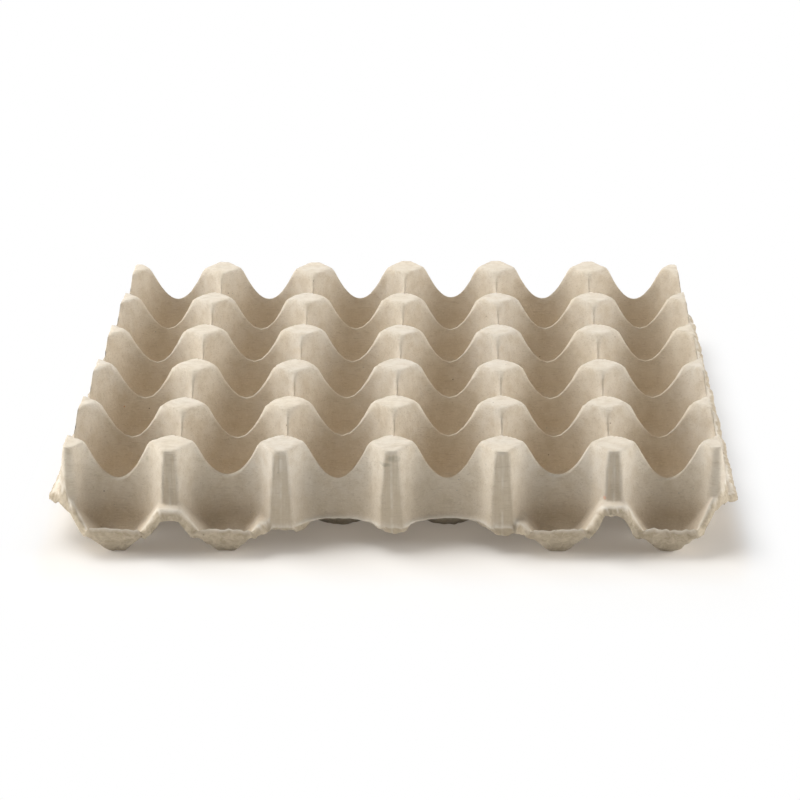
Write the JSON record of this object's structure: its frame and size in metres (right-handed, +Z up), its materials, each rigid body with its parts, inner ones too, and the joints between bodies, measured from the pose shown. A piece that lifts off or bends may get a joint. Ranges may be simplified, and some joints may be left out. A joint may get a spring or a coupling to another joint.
{
  "type": "moulded pulp egg tray",
  "caption": "Square egg tray moulded from grey paper pulp as one thin sheet, with rows of tapered cups, diamond-topped posts between them and a trimmed ledge around the edge.",
  "frame": {"origin": "middle of the tray's box in X and Y, on the surface that the cups stand on", "axes": "+Z up, out of the cups; +X along the rows of six cups; +Y along the rows of five, away from the pictured front"},
  "size_m": [0.303, 0.3, 0.045],
  "materials": {
    "pulp": "matt moulded paper pulp, warm grey, with fibres"
  },
  "bodies": {
    "root": {"tray": "pulp"}
  },
  "joints": []
}
